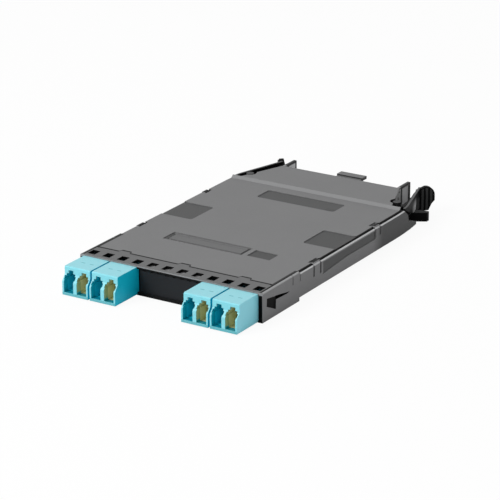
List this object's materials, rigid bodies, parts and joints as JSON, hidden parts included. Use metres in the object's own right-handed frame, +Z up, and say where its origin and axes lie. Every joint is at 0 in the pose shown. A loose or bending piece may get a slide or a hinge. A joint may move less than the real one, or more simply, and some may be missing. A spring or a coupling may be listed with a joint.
{
  "type": "fibre cassette",
  "caption": "Thin fibre cassette in grey plastic with aqua duplex ports in front, a black blank between them, one multi-fibre port behind and two squeeze latches.",
  "frame": {"origin": "middle of the underside, half-way between the front of the port strip and the rear edge", "axes": "+X to the right seen from the ports, +Y from the ports to the rear, +Z up through the cover"},
  "size_m": [0.086, 0.1649, 0.0135],
  "materials": {
    "housing": "satin",
    "cover": "satin",
    "blank": "satin",
    "aqua": "satin",
    "holder_teal": "satin",
    "holder_khaki": "satin",
    "ceramic": "polished",
    "plug": "satin",
    "fibre": "satin",
    "ferrule": "matte",
    "lever": "satin",
    "inner_black": "satin"
  },
  "bodies": {
    "housing": {"base_housing": "housing", "top_cover": "cover", "port_blank": "blank", "lc_adapter_1": "aqua", "lc_adapter_2": "aqua", "lc_adapter_3": "aqua", "lc_adapter_4": "aqua", "sleeve_holder_1": "holder_teal", "split_sleeve_1": "ceramic", "lc_plug_1": "plug", "fibre_leg_1": "fibre", "sleeve_holder_2": "holder_khaki", "split_sleeve_2": "ceramic", "lc_plug_2": "plug", "fibre_leg_2": "fibre", "sleeve_holder_3": "holder_teal", "split_sleeve_3": "ceramic", "lc_plug_3": "plug", "fibre_leg_3": "fibre", "sleeve_holder_4": "holder_khaki", "split_sleeve_4": "ceramic", "lc_plug_4": "plug", "fibre_leg_4": "fibre", "sleeve_holder_5": "holder_teal", "split_sleeve_5": "ceramic", "lc_plug_5": "plug", "fibre_leg_5": "fibre", "sleeve_holder_6": "holder_khaki", "split_sleeve_6": "ceramic", "lc_plug_6": "plug", "fibre_leg_6": "fibre", "sleeve_holder_7": "holder_teal", "split_sleeve_7": "ceramic", "lc_plug_7": "plug", "fibre_leg_7": "fibre", "sleeve_holder_8": "holder_khaki", "split_sleeve_8": "ceramic", "lc_plug_8": "plug", "fibre_leg_8": "fibre", "fan_out_block": "inner_black", "trunk_cable": "fibre", "mpo_adapter": "inner_black", "mpo_plug": "inner_black", "mpo_ferrule": "ferrule"},
    "lever_right": {"latch_lever_right": "lever"},
    "lever_left": {"latch_lever_left": "lever"}
  },
  "joints": [
    {"name": "squeeze_right", "type": "hinge", "parent": "housing", "child": "lever_right", "pos_m": [0.0366, 0.052, 0.0073], "axis": [0, 0, 1], "range_deg": [0, 7], "stiffness_Nm_per_rad": 0.1},
    {"name": "squeeze_left", "type": "hinge", "parent": "housing", "child": "lever_left", "pos_m": [-0.0366, 0.052, 0.0073], "axis": [0, 0, -1], "range_deg": [0, 7], "stiffness_Nm_per_rad": 0.1}
  ]
}
